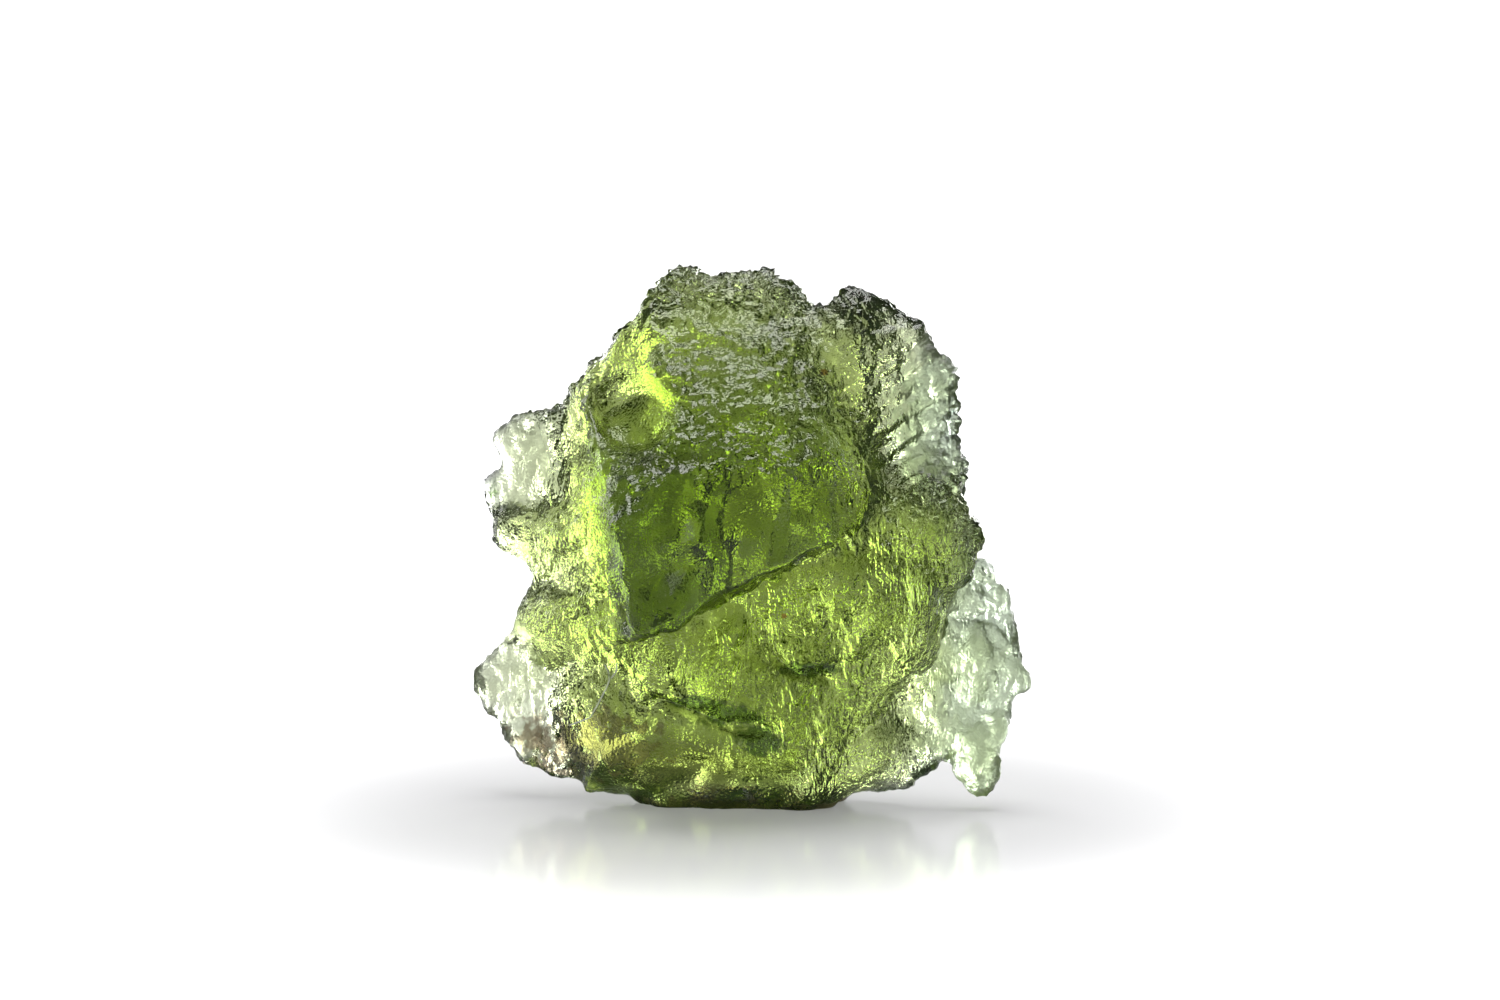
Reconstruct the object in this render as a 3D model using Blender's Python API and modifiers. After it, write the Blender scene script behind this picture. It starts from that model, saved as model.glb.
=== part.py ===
"""A small moldavite: one piece of green natural glass that stands on a flat spot.

The stone is a thick plate that faces the viewer. A block-like prow stands out of its front, its left side
bends back into two thin wings, and a thin flange grows out behind its lower right edge and ends in a foot.
The plate and the flange both start as a flat outline that is thickened between a front and a back surface.
They are fused, roughened, leaned back by LEAN, reduced and cut flat at the base.

Everything is drawn in millimetres in the plane that faces the viewer: x to the right, v up and d away from
the viewer, with d = 0 and v = 0 at the middle of the base. The last step turns millimetres into metres.
"""

import math

import bmesh
import bpy
import numpy as np
from mathutils import Matrix, Vector, noise

MM = 0.001

# Driving sizes in millimetres and degrees
LEAN = 7.0
RIM_THICKNESS = 0.45
RIM_REACH = 3.2
PLATE_FRONT = 2.0
PLATE_BACK = 3.0
WING_SHARE = 0.3
FLANGE_THICKNESS = 1.3
FLANGE_REACH = 1.2
STRIP = 1.2
BASE_DEPTH = 3.0
BASE_WIDTH = 40.0
DROOP_DEPTH = -2.5
DROOP = 0.22
FLOW_TURN = 25.0
FLOW_STRETCH = 0.6

# Mesh sizes
SHEET_VOXEL = 0.2
FUSE_VOXEL = 0.16
TRIANGLES = 9300

# The plate's outline as (x, v), clockwise from the tip of the upper left wing
PLATE_OUTLINE = [
    (-8.8, 12.1), (-8.2, 12.9), (-7.8, 13.2), (-6.9, 13.1), (-6.1, 13.3),
    (-6.0, 13.9), (-5.3, 14.6), (-5.2, 15.0), (-4.8, 15.1), (-4.2, 15.9),
    (-3.9, 16.3), (-3.4, 16.8), (-2.9, 17.5), (-2.4, 17.9), (-1.8, 18.0),
    (-1.2, 17.7), (-0.1, 18.0), (0.5, 17.8), (0.9, 17.8), (1.5, 17.3),
    (2.1, 16.6), (2.8, 17.0), (3.1, 17.3), (3.8, 17.5), (4.3, 16.9),
    (5.1, 16.5), (5.8, 16.4), (6.1, 15.4), (6.6, 14.6), (6.8, 14.0),
    (7.0, 12.8), (7.2, 11.1), (7.1, 10.7), (7.5, 9.8), (7.7, 9.2),
    (7.5, 8.5), (7.0, 7.5), (6.5, 6.5), (6.3, 5.3), (6.1, 4.8),
    (5.5, 4.7), (4.9, 4.2), (4.5, 3.5), (4.2, 2.9), (3.5, 2.2),
    (3.1, 1.2), (2.7, 0.2), (1.9, -0.3), (0.4, -0.5), (-1.4, -0.5),
    (-2.7, -0.2), (-3.7, 0.4), (-4.8, 0.6), (-5.6, 0.9), (-6.9, 0.9),
    (-7.8, 1.5), (-8.0, 2.1), (-8.4, 2.9), (-9.1, 3.5), (-9.1, 4.2),
    (-9.2, 4.7), (-8.6, 5.2), (-8.0, 5.9), (-7.8, 6.6), (-7.5, 7.2),
    (-7.2, 7.5), (-7.7, 8.0), (-8.0, 8.6), (-8.6, 8.9), (-8.7, 9.7),
    (-9.2, 10.0), (-9.1, 11.1), (-8.3, 11.4), (-8.4, 11.8),
]

# The flange's outline, clockwise from its top. Its left part lies inside the plate.
FLANGE_OUTLINE = [
    (6.4, 9.2), (7.5, 8.8), (8.1, 8.3), (8.6, 7.2), (8.9, 6.1), (9.3, 4.8),
    (9.2, 4.0), (8.6, 3.5), (8.5, 2.8), (8.2, 2.1), (8.4, 1.4), (8.1, 0.8),
    (7.6, 0.45), (7.2, 1.0), (7.0, 1.8), (6.6, 2.0), (6.1, 1.7), (5.5, 1.0),
    (5.0, 0.5), (4.6, 0.7), (4.2, 0.4), (3.6, 0.5), (2.6, -0.1), (1.4, 0.4),
    (0.6, 4.0), (2.4, 6.2), (4.6, 8.0),
]

# Planes of the prow as (depth at its point, x, v, slope along x, slope along v)
PROW_PLANES = [
    (-6.3, -1.0, 10.1, 0.16, -0.05),
    (-6.4, -4.3, 9.8, -5.2, -0.75),
    (-5.9, 2.6, 10.7, 2.4, 0.65),
    (-6.2, -1.0, 12.0, 0.10, 0.92),
    (-5.3, -3.2, 13.1, -1.2, 0.95),
    (-5.9, -0.4, 8.0, 3.0, -6.4),
]

# Hollows as (x, v, half width, half height, turn in degrees, depth)
FRONT_HOLLOWS = [
    (-3.9, 13.4, 1.5, 1.4, 20, 1.5),
    (-7.1, 11.8, 1.0, 1.2, 0, 0.3),
    (-5.7, 11.4, 0.5, 2.0, -12, 0.4),
    (-6.1, 7.2, 1.2, 1.5, 15, 0.5),
    (6.0, 13.4, 0.9, 2.6, 10, 0.5),
    (4.6, 9.4, 1.5, 2.6, -15, 0.5),
    (3.8, 14.2, 1.0, 1.7, 15, 0.4),
    (1.8, 6.2, 2.8, 1.2, 24, 0.6),
    (-4.9, 4.4, 1.6, 1.0, -25, 0.5),
    (-6.9, 3.2, 1.1, 1.3, 30, 0.3),
    (0.3, 2.6, 1.8, 0.5, -14, 0.6),
    (2.9, 4.4, 0.7, 1.5, -30, 0.35),
    (-2.4, 4.6, 0.9, 1.3, 40, 0.35),
    (6.2, 8.8, 0.8, 1.3, 0, 0.3),
    (-7.0, 9.6, 1.0, 0.8, -30, 0.3),
    (4.6, 5.4, 1.0, 1.4, -35, 0.4),
    (-0.9, 8.6, 1.2, 1.4, 10, 0.25),
    (0.2, 16.9, 1.6, 0.6, 0, 0.3),
]
BACK_HOLLOWS = [
    (-3.4, 13.2, 2.4, 1.6, 35, 1.2),
    (1.6, 14.2, 1.5, 2.6, -15, 1.1),
    (-5.2, 8.4, 1.7, 2.2, 10, 0.8),
    (-0.6, 9.4, 1.7, 2.9, -35, 1.3),
    (4.4, 10.2, 1.6, 2.8, 12, 1.0),
    (-3.2, 4.0, 2.4, 1.2, -20, 1.0),
    (2.6, 5.2, 2.5, 1.3, 30, 0.9),
    (-6.6, 3.6, 1.2, 1.5, 0, 0.3),
    (0.2, 17.0, 1.9, 0.7, 5, 0.4),
]
FLANGE_HOLLOWS = [
    (7.9, 6.2, 0.9, 1.6, 12, 0.3),
    (7.3, 3.3, 1.1, 0.9, -30, 0.3),
    (5.6, 3.0, 1.2, 1.0, 25, 0.25),
    (7.8, 1.5, 0.4, 0.7, 0, 0.12),
]

# Ridges as (x, v, x, v, half width, height); a groove has a height below zero
FRONT_RIDGES = [
    (-1.8, 15.8, 1.8, 15.1, 0.3, 0.28),
    (-1.4, 14.8, 2.0, 14.2, 0.28, 0.26),
    (-1.5, 13.8, 2.2, 13.3, 0.3, 0.3),
    (-2.0, 12.9, 1.6, 12.3, 0.3, 0.3),
    (-2.3, 14.7, -2.6, 12.2, 0.3, 0.4),
    (2.1, 16.6, 2.9, 12.9, 0.35, -0.4),
    (3.6, 12.6, 4.6, 8.0, 0.35, 0.3),
    (-3.6, 3.3, -0.2, 2.5, 0.3, -0.4),
    (-0.5, 2.3, -0.4, 0.7, 0.25, -0.35),
    (3.0, 7.2, 1.6, 3.6, 0.3, 0.3),
    (1.8, 6.2, 1.2, 1.6, 0.28, 0.28),
    (4.2, 6.6, 2.6, 2.8, 0.3, 0.3),
    (-0.6, 5.9, -1.2, 3.6, 0.3, 0.25),
    (-2.8, 5.2, -3.4, 3.8, 0.3, 0.25),
    (5.6, 7.8, 6.2, 5.6, 0.3, 0.25),
    (-5.0, 10.2, -4.6, 6.4, 0.35, 0.35),
    (-6.6, 10.2, -6.2, 8.4, 0.3, 0.25),
    (-7.8, 4.8, -5.8, 1.9, 0.3, 0.2),
    (-1.9, 10.9, -1.0, 8.2, 0.3, 0.3),
    (0.9, 10.9, 0.4, 7.6, 0.3, -0.25),
]
BACK_RIDGES = [
    (-6.0, 12.2, -1.0, 16.2, 0.4, 0.4),
    (-2.4, 11.6, 1.2, 6.8, 0.4, 0.45),
    (1.6, 12.2, 2.6, 7.4, 0.35, 0.35),
    (3.2, 15.8, 5.8, 8.4, 0.35, 0.35),
    (-5.6, 6.4, -0.6, 5.6, 0.4, 0.4),
    (0.0, 4.4, 4.4, 7.2, 0.35, 0.35),
    (-4.0, 10.6, -2.6, 7.2, 0.3, -0.4),
    (-0.4, 14.8, 0.6, 12.0, 0.3, -0.4),
]


def smooth_step(value, low, high):
    """Rise from 0 to 1 between two values, also where low is above high."""
    t = np.clip((value - low) / (high - low), 0.0, 1.0)
    return t * t * (3.0 - 2.0 * t)


def smooth_min(first, second, blend):
    """Take the smaller of two surfaces with a rounded meeting line."""
    h = np.clip(0.5 + 0.5 * (second - first) / blend, 0.0, 1.0)
    return second + (first - second) * h - blend * h * (1.0 - h)


def line_distance(x, v, start, end):
    """Distance of points from a straight piece between two points."""
    along = np.array(end) - np.array(start)
    px = x - start[0]
    pv = v - start[1]
    share = np.clip((px * along[0] + pv * along[1]) / (along @ along), 0.0, 1.0)
    return np.hypot(px - share * along[0], pv - share * along[1])


def rim_distance(x, v, outline):
    """Distance of points from the nearest side of a closed outline."""
    nearest = np.full(x.shape, 99.0)
    for start, end in zip(outline, outline[1:] + outline[:1]):
        nearest = np.minimum(nearest, line_distance(x, v, start, end))
    return nearest


def hollow_depth(x, v, hollows):
    """Add up the depths of bowl-shaped hollows."""
    total = np.zeros_like(x)
    for cx, cv, half_x, half_v, turn, depth in hollows:
        c = math.cos(math.radians(turn))
        s = math.sin(math.radians(turn))
        a = ((x - cx) * c + (v - cv) * s) / half_x
        b = ((v - cv) * c - (x - cx) * s) / half_v
        total += depth * np.clip(1.0 - a * a - b * b, 0.0, None)
    return total


def ridge_height(x, v, ridges):
    """Add up the heights of ridges and grooves."""
    total = np.zeros_like(x)
    for x0, v0, x1, v1, half, height in ridges:
        away = line_distance(x, v, (x0, v0), (x1, v1)) / half
        total += height * np.exp(-away * away)
    return total


def waves(points, size, seed):
    """Seeded noise between about -1 and 1 at each point."""
    shift = Vector((seed * 17.3, seed * 5.1, seed * 9.7))
    return np.array([noise.noise(Vector(p) / size + shift) for p in points])


def plate_middle(x, v):
    """Depth of the plate's middle: the left side bends back, the right side comes forward."""
    bend = np.where(x < 0.0, 0.029 * x * x, -0.28 * x)
    return bend - 0.05 * (v - 9.0)


def plate_surfaces(x, v):
    """Front and back depth of the plate, with the prow."""
    rim = rim_distance(x, v, PLATE_OUTLINE)
    reach = np.clip(rim / RIM_REACH, 0.0, 1.0)
    swell = (reach * (2.0 - reach)) ** 0.65
    upper_wing = smooth_step(x, -5.0, -6.3) * smooth_step(v, 9.0, 10.2)
    lower_wing = smooth_step(x, -4.4, -6.4) * smooth_step(v, 6.2, 4.8)
    right_wing = smooth_step(x, 1.8, 5.2) * smooth_step(v, 9.0, 12.0)
    wing = np.maximum(np.maximum(upper_wing, lower_wing), right_wing)
    fullness = swell * (1.0 - (1.0 - WING_SHARE) * wing)
    middle = plate_middle(x, v)
    front = middle - 0.5 * RIM_THICKNESS - PLATE_FRONT * fullness
    back = middle + 0.5 * RIM_THICKNESS + PLATE_BACK * fullness
    undercut = smooth_step(v, 3.2, -0.2) * smooth_step(rim, 0.3, 1.6)
    front += 0.9 * undercut
    prow = np.full(x.shape, -99.0)
    for depth, px, pv, slope_x, slope_v in PROW_PLANES:
        prow = np.maximum(prow, depth + slope_x * (x - px) + slope_v * (v - pv))
    front = smooth_min(front, prow, 0.4)
    relief = smooth_step(rim, 0.1, 1.0)
    front += relief * (hollow_depth(x, v, FRONT_HOLLOWS) - ridge_height(x, v, FRONT_RIDGES))
    back -= relief * (hollow_depth(x, v, BACK_HOLLOWS) - ridge_height(x, v, BACK_RIDGES))
    front = np.minimum(front, middle - 0.2)
    back = np.maximum(back, middle + 0.2)
    return middle, front, back


def flange_surfaces(x, v):
    """Front and back depth of the flange behind the plate's right side."""
    rim = rim_distance(x, v, FLANGE_OUTLINE)
    reach = np.clip(rim / FLANGE_REACH, 0.0, 1.0)
    half = 0.5 * (RIM_THICKNESS + (FLANGE_THICKNESS - RIM_THICKNESS) * np.sqrt(reach * (2.0 - reach)))
    inside = smooth_step(x, 5.6, 2.8)
    low = smooth_step(v, 3.2, 2.2)
    middle = 0.95 - 0.17 * x + 0.25 * np.sin(0.9 * v + 0.5 * x) * (1.0 - inside)
    hollow = hollow_depth(x, v, FLANGE_HOLLOWS)
    blend = low * smooth_step(x, 5.6, 3.8) * smooth_step(rim, -0.4, 0.9)
    front = middle - half + hollow - 1.1 * blend
    return middle, front, middle + half + 0.6 * inside - 0.6 * hollow


def sheet(name, outline, surfaces):
    """Thicken an outline between two surfaces.

    Args:
        name: name of the sheet.
        outline: corners of the sheet as (x, v).
        surfaces: function that gives the depth of the middle, the front and the back.

    Returns:
        The mesh of the sheet in millimetres, with d along Y and v along Z.
    """
    curve = bpy.data.curves.new(name, "CURVE")
    curve.dimensions = "2D"
    curve.fill_mode = "BOTH"
    curve.extrude = 0.5 * STRIP
    spline = curve.splines.new("POLY")
    spline.points.add(len(outline) - 1)
    for point, (x, v) in zip(spline.points, outline):
        point.co = (x, v, 0.0, 1.0)
    spline.use_cyclic_u = True
    flat = bpy.data.objects.new(name, curve)
    bpy.context.scene.collection.objects.link(flat)
    graph = bpy.context.evaluated_depsgraph_get()
    mesh = bpy.data.meshes.new_from_object(flat.evaluated_get(graph))
    bpy.data.objects.remove(flat)
    bm = bmesh.new()
    bm.from_mesh(mesh)
    bmesh.ops.remove_doubles(bm, verts=bm.verts, dist=0.0001)
    bm.to_mesh(mesh)
    bm.free()
    mesh = voxel_mesh(name, mesh, SHEET_VOXEL)
    co = np.empty(len(mesh.vertices) * 3)
    mesh.vertices.foreach_get("co", co)
    co = co.reshape(-1, 3)
    x = co[:, 0]
    v = co[:, 1]
    side = np.clip(-co[:, 2] / (0.5 * STRIP), -1.0, 1.0)
    middle, front, back = surfaces(x, v)
    depth = np.where(side < 0.0, middle - side * (front - middle), middle + side * (back - middle))
    droop = DROOP * np.clip(DROOP_DEPTH - depth, 0.0, None) * smooth_step(v, 17.5, 14.5)
    moved = np.column_stack([x, depth, v - droop])
    mesh.vertices.foreach_set("co", moved.ravel())
    return mesh


def with_modifier(name, mesh, kind, settings):
    """Run one modifier on a mesh and return the result."""
    thing = bpy.data.objects.new(name, mesh)
    bpy.context.scene.collection.objects.link(thing)
    modifier = thing.modifiers.new(kind.title(), kind)
    for key, value in settings.items():
        setattr(modifier, key, value)
    graph = bpy.context.evaluated_depsgraph_get()
    result = bpy.data.meshes.new_from_object(thing.evaluated_get(graph))
    bpy.data.objects.remove(thing)
    return result


def voxel_mesh(name, mesh, size):
    """Rebuild a mesh with even faces of one size."""
    return with_modifier(name, mesh, "REMESH", {"mode": "VOXEL", "voxel_size": size})


def fused(name, meshes):
    """Join closed meshes that overlap into one closed mesh."""
    bm = bmesh.new()
    for mesh in meshes:
        bm.from_mesh(mesh)
    joined = bpy.data.meshes.new(name)
    bm.to_mesh(joined)
    bm.free()
    return voxel_mesh(name, joined, FUSE_VOXEL)


def scallops(points, size, seed):
    """Etched pits side by side with sharp crests between them, from about -1 to 1."""
    shift = Vector((seed * 11.9, seed * 7.7, seed * 3.3))
    away = [noise.voronoi(Vector(p) / size + shift)[0][0] for p in points]
    return 2.4 * (np.array(away) - 0.42)


def roughened(mesh):
    """Move a mesh's points along their normals: broad lumps, etched pits and jagged rims."""
    count = len(mesh.vertices)
    co = np.empty(count * 3)
    mesh.vertices.foreach_get("co", co)
    co = co.reshape(-1, 3)
    normal = np.empty(count * 3)
    mesh.vertices.foreach_get("normal", normal)
    normal = normal.reshape(-1, 3)
    edge_on = 1.0 - np.abs(normal[:, 1])
    turned = co @ np.array(Matrix.Rotation(math.radians(FLOW_TURN), 3, "Y"))
    turned[:, 2] *= FLOW_STRETCH
    lumps = 0.12 * waves(co, 2.6, 1)
    pits = 0.20 * scallops(turned, 1.7, 2)
    small = 0.12 * scallops(turned, 0.8, 3)
    jag = 0.42 * smooth_step(edge_on, 0.5, 1.0) * waves(co, 0.55, 4)
    co = co + normal * (lumps + pits + small + jag - 0.05)[:, None]
    mesh.vertices.foreach_set("co", co.ravel())
    return mesh


def placed(mesh):
    """Lean the stone back to its real stance, in metres, and centre it over the origin."""
    mesh.transform(Matrix.Rotation(math.radians(-LEAN), 4, "X"))
    mesh.transform(Matrix.Scale(MM, 4))
    middle = [0.0, 0.0]
    for axis in (0, 1):
        values = [vertex.co[axis] for vertex in mesh.vertices]
        middle[axis] = 0.5 * (min(values) + max(values))
    mesh.transform(Matrix.Translation((-middle[0], -middle[1], 0.0)))
    print("centred by", [round(value / MM, 3) for value in middle], "mm")
    return mesh


def stone_mesh():
    """The whole stone before its base is cut flat."""
    plate = sheet("plate", PLATE_OUTLINE, plate_surfaces)
    flange = sheet("flange", FLANGE_OUTLINE, flange_surfaces)
    mesh = fused("moldavite", [plate, flange])
    mesh = with_modifier("moldavite", mesh, "SMOOTH", {"factor": 0.5, "iterations": 2})
    mesh = voxel_mesh("moldavite", roughened(mesh), FUSE_VOXEL)
    mesh = with_modifier("moldavite", mesh, "SMOOTH", {"factor": 0.5, "iterations": 1})
    mesh.calc_loop_triangles()
    share = TRIANGLES / len(mesh.loop_triangles)
    mesh = with_modifier("moldavite", mesh, "DECIMATE", {"ratio": share, "use_collapse_triangulate": True})
    mesh.name = "moldavite"
    return placed(mesh)


def floor_cutter():
    """Block below the floor that cuts the base flat."""
    mesh = bpy.data.meshes.new("floor cutter")
    bm = bmesh.new()
    bmesh.ops.create_cube(bm, size=1.0)
    bm.to_mesh(mesh)
    bm.free()
    size = Matrix.Diagonal((BASE_WIDTH * MM, BASE_WIDTH * MM, BASE_DEPTH * MM, 1.0))
    mesh.transform(Matrix.Translation((0.0, 0.0, -0.5 * BASE_DEPTH * MM)) @ size)
    cutter = bpy.data.objects.new("floor cutter", mesh)
    cutter.display_type = "WIRE"
    cutter.hide_render = True
    return cutter


def green_glass():
    """Clear green glass."""
    material = bpy.data.materials.new("Green glass")
    material.use_nodes = True
    shader = material.node_tree.nodes["Principled BSDF"]
    shader.inputs["Base Color"].default_value = (0.32, 0.48, 0.05, 1.0)
    shader.inputs["Roughness"].default_value = 0.2
    shader.inputs["IOR"].default_value = 1.49
    shader.inputs["Transmission Weight"].default_value = 1.0
    return material


def collection(name, hidden):
    """A collection in the scene."""
    group = bpy.data.collections.new(name)
    group.hide_render = hidden
    bpy.context.scene.collection.children.link(group)
    return group


def main():
    for thing in list(bpy.data.objects):
        bpy.data.objects.remove(thing)
    stone = bpy.data.objects.new("moldavite", stone_mesh())
    collection("Moldavite", False).objects.link(stone)
    stone.data.materials.append(green_glass())
    cutter = floor_cutter()
    collection("Guides", True).objects.link(cutter)
    cut = stone.modifiers.new("Flat spot", "BOOLEAN")
    cut.operation = "DIFFERENCE"
    cut.solver = "EXACT"
    cut.object = cutter


main()
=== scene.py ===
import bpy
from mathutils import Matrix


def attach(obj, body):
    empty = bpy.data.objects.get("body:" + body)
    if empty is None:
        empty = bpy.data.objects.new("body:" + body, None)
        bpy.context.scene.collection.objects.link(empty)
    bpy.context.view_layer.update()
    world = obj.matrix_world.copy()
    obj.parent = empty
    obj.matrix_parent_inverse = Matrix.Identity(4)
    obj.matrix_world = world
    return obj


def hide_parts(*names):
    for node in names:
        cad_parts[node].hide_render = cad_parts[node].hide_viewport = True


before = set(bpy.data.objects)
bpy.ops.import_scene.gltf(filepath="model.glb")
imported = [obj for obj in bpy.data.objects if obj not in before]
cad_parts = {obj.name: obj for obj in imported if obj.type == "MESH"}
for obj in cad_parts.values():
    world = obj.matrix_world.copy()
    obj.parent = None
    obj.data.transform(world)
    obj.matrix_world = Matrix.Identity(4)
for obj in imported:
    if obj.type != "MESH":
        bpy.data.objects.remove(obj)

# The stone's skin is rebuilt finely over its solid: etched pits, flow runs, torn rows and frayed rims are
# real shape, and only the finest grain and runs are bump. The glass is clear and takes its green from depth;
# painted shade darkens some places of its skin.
"""A small moldavite on a pale glossy floor, lit from behind.

The stone's skin is rebuilt finely over its solid: etched pits, flow runs, torn rows and frayed rims are real
shape, and only the finest grain and runs are bump. The glass is clear and takes its green from depth.
"""

import logging
import math
from dataclasses import dataclass, field
from enum import Enum

import bmesh
import bpy
import numpy as np
from mathutils import Matrix, Vector, noise
from mathutils.bvhtree import BVHTree

MM = 0.001
VIEW_HEIGHT = 7.0
VIEW_MIDDLE = (-0.028, 1.613, 10.15)
CLEAR_OF_STONE = 40.0
MIX_UNDER, MIX_OVER, MIX_RESULT = 6, 7, 2
SPOT_EDGE = (1.25, 0.75)
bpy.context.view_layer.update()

log = logging.getLogger("moldavite")
logging.basicConfig(level=logging.INFO, format="%(message)s")

Colour = tuple[float, float, float, float]
Pair = tuple[float, float]
Place = tuple[float, float, float]
Field = np.ndarray
Value = float | bpy.types.NodeSocket


def smooth_step(value: Field, low: float, high: float) -> Field:
    """Rise from 0 to 1 between two values.

    Args:
        value: the values to map.
        low: where the rise starts; it may lie above high.
        high: where the rise ends.

    Returns:
        Values from 0 to 1.
    """
    t = np.clip((value - low) / (high - low), 0.0, 1.0)
    return t * t * (3.0 - 2.0 * t)


def waver(places: Field, size: float, seed: float) -> Field:
    """Smooth noise from about -1 to 1.

    Args:
        places: rows of three.
        size: length of one wave.
        seed: shifts the noise, so that two layers differ.

    Returns:
        One value a row.
    """
    shift = Vector((seed, 2.7 * seed, -1.3 * seed))
    return np.array([noise.noise(Vector(p) / size + shift) for p in places])


def cell_distance(places: Field, size: float, seed: float) -> Field:
    """Distance to the nearest cell centre, about 0 to 1.

    Args:
        places: rows of three.
        size: width of one cell.
        seed: shifts the cells.

    Returns:
        One value a row.
    """
    shift = Vector((seed, -seed, 1.9 * seed))
    return np.array([noise.voronoi(Vector(p) / size + shift)[0][0] for p in places])


def points_of(mesh: bpy.types.Mesh, what: str = "co") -> Field:
    """Read the places or normals of a mesh's points as rows of three."""
    values = np.empty(len(mesh.vertices) * 3)
    mesh.vertices.foreach_get(what, values)
    return values.reshape(-1, 3)


def set_points(mesh: bpy.types.Mesh, places: Field) -> None:
    """Write the places of a mesh's points."""
    mesh.vertices.foreach_set("co", places.ravel())
    mesh.update()


def evaluated_copy(name: str, mesh: bpy.types.Mesh, kind: str, settings: dict[str, object]) -> bpy.types.Mesh:
    """Run one modifier on a mesh.

    Args:
        name: name of the new mesh.
        mesh: the mesh to change.
        kind: the modifier's type.
        settings: the modifier's values by name.

    Returns:
        A new mesh with the modifier applied.
    """
    thing = bpy.data.objects.new(name, mesh)
    bpy.context.scene.collection.objects.link(thing)
    modifier = thing.modifiers.new(kind.title(), kind)
    for key, value in settings.items():
        setattr(modifier, key, value)
    graph = bpy.context.evaluated_depsgraph_get()
    result = bpy.data.meshes.new_from_object(thing.evaluated_get(graph))
    bpy.data.objects.remove(thing)
    result.name = name
    return result


def computed(tree: bpy.types.ShaderNodeTree, operation: str, *values: Value) -> bpy.types.NodeSocket:
    """Add a Math node.

    Args:
        tree: the nodes to add it to.
        operation: what it computes.
        values: its inputs in order, each a number or a socket.

    Returns:
        The socket with the result.
    """
    node = tree.nodes.new("ShaderNodeMath")
    node.operation = operation
    for socket, value in zip(node.inputs, values):
        if isinstance(value, bpy.types.NodeSocket):
            tree.links.new(value, socket)
        else:
            socket.default_value = value
    return node.outputs["Value"]


def mapped(tree: bpy.types.ShaderNodeTree, value: bpy.types.NodeSocket, source: Pair, target: Pair,
           kind: str = "LINEAR") -> bpy.types.NodeSocket:
    """Add a Map Range node.

    Args:
        tree: the nodes to add it to.
        value: socket with the value to map.
        source: the value's two ends.
        target: what the ends become.
        kind: how it runs between the ends.

    Returns:
        The socket with the result.
    """
    node = tree.nodes.new("ShaderNodeMapRange")
    node.interpolation_type = kind
    node.inputs["From Min"].default_value, node.inputs["From Max"].default_value = source
    node.inputs["To Min"].default_value, node.inputs["To Max"].default_value = target
    tree.links.new(value, node.inputs["Value"])
    return node.outputs["Result"]


def noise_of(tree: bpy.types.ShaderNodeTree, place: bpy.types.NodeSocket, size: float, detail: float,
             bend: float = 0.0) -> bpy.types.NodeSocket:
    """Add a noise.

    Args:
        tree: the nodes to add it to.
        place: socket with the place on the surface.
        size: width of one wave in millimetres.
        detail: how many finer waves it holds.
        bend: how far the waves are bent.

    Returns:
        The socket with the noise, about 0.5 in the middle.
    """
    node = tree.nodes.new("ShaderNodeTexNoise")
    node.inputs["Scale"].default_value = 1.0 / (size * MM)
    node.inputs["Detail"].default_value = detail
    node.inputs["Distortion"].default_value = bend
    tree.links.new(place, node.inputs["Vector"])
    return node.outputs["Fac"]


def mixed(tree: bpy.types.ShaderNodeTree, mask: bpy.types.NodeSocket, under: Colour | bpy.types.NodeSocket,
          over: Colour) -> bpy.types.NodeSocket:
    """Lay one colour over another through a mask.

    Args:
        tree: the nodes to add it to.
        mask: socket with the mask.
        under: the colour below, or the socket that gives it.
        over: the colour on top.

    Returns:
        The socket with the mixed colour.
    """
    mix = tree.nodes.new("ShaderNodeMix")
    mix.data_type = "RGBA"
    tree.links.new(mask, mix.inputs["Factor"])
    if isinstance(under, bpy.types.NodeSocket):
        tree.links.new(under, mix.inputs[MIX_UNDER])
    else:
        mix.inputs[MIX_UNDER].default_value = under
    mix.inputs[MIX_OVER].default_value = over
    return mix.outputs[MIX_RESULT]


def soft_spot_group() -> bpy.types.ShaderNodeTree:
    """Build the shader group that marks one soft, broken spot on a surface.

    Returns:
        The group: Place, Centre, Stretch, Radius, Breakup and Torn in; Mask out, 1 inside and 0 outside.
    """
    group = bpy.data.node_groups.new("soft_spot", "ShaderNodeTree")
    for name in ("Place", "Centre", "Stretch"):
        group.interface.new_socket(name, in_out="INPUT", socket_type="NodeSocketVector")
    for name in ("Radius", "Breakup", "Torn"):
        group.interface.new_socket(name, in_out="INPUT", socket_type="NodeSocketFloat")
    group.interface.new_socket("Mask", in_out="OUTPUT", socket_type="NodeSocketFloat")
    given = group.nodes.new("NodeGroupInput")
    result = group.nodes.new("NodeGroupOutput")
    offset = group.nodes.new("ShaderNodeVectorMath")
    offset.operation = "SUBTRACT"
    group.links.new(given.outputs["Place"], offset.inputs[0])
    group.links.new(given.outputs["Centre"], offset.inputs[1])
    scaled = group.nodes.new("ShaderNodeVectorMath")
    scaled.operation = "MULTIPLY"
    group.links.new(offset.outputs["Vector"], scaled.inputs[0])
    group.links.new(given.outputs["Stretch"], scaled.inputs[1])
    away = group.nodes.new("ShaderNodeVectorMath")
    away.operation = "LENGTH"
    group.links.new(scaled.outputs["Vector"], away.inputs[0])
    share = computed(group, "DIVIDE", away.outputs["Value"], given.outputs["Radius"])
    centred = computed(group, "SUBTRACT", given.outputs["Torn"], 0.5)
    edge = computed(group, "MULTIPLY_ADD", centred, given.outputs["Breakup"], share)
    fade = mapped(group, edge, SPOT_EDGE, (0.0, 1.0), "SMOOTHSTEP")
    group.links.new(fade, result.inputs["Mask"])
    return group


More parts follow.
